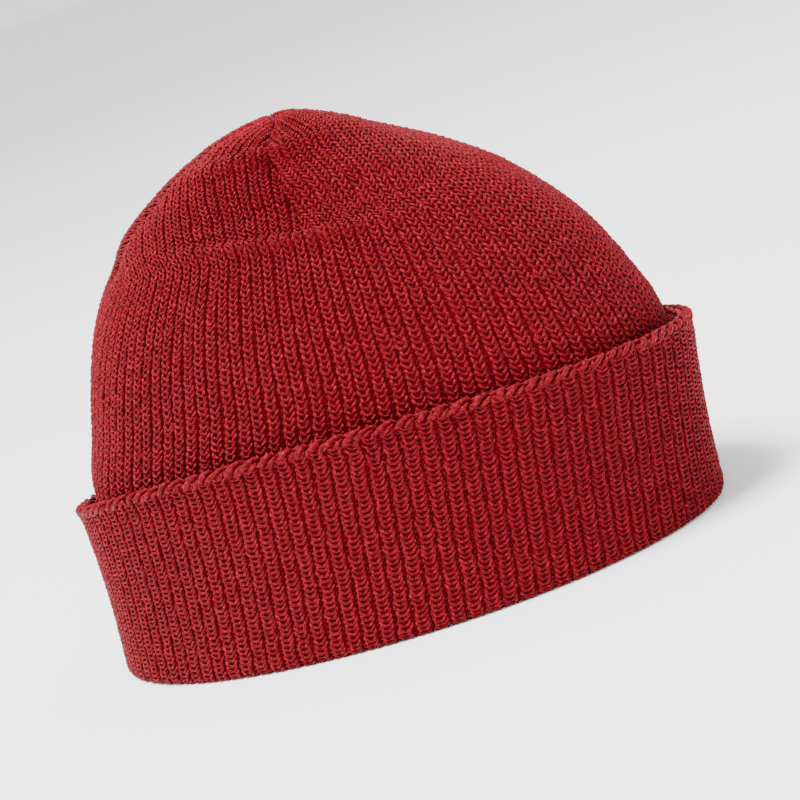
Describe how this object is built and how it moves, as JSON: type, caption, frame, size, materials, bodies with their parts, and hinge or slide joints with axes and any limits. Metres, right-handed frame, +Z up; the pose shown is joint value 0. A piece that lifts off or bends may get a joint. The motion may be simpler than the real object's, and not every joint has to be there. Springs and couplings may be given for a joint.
{
  "type": "fisherman beanie",
  "caption": "Close-fitting rib-knit cap with a domed crown closed by dart seams and a deep turned-up cuff; worn on the head for warmth.",
  "frame": {"origin": "middle of the cap's footprint, on the surface that the cuff's fold rests on", "axes": "+Z up towards the tip of the crown, -Y towards the front, Y is the long way of the head"},
  "size_m": [0.1592, 0.2248, 0.1632],
  "materials": {
    "crown_knit": "red wool half-cardigan rib, matt with a soft sheen",
    "cuff_knit": "red wool rib, denser than the crown, matt with a soft sheen"
  },
  "bodies": {
    "root": {"crown": "crown_knit", "cuff": "cuff_knit"}
  },
  "joints": []
}
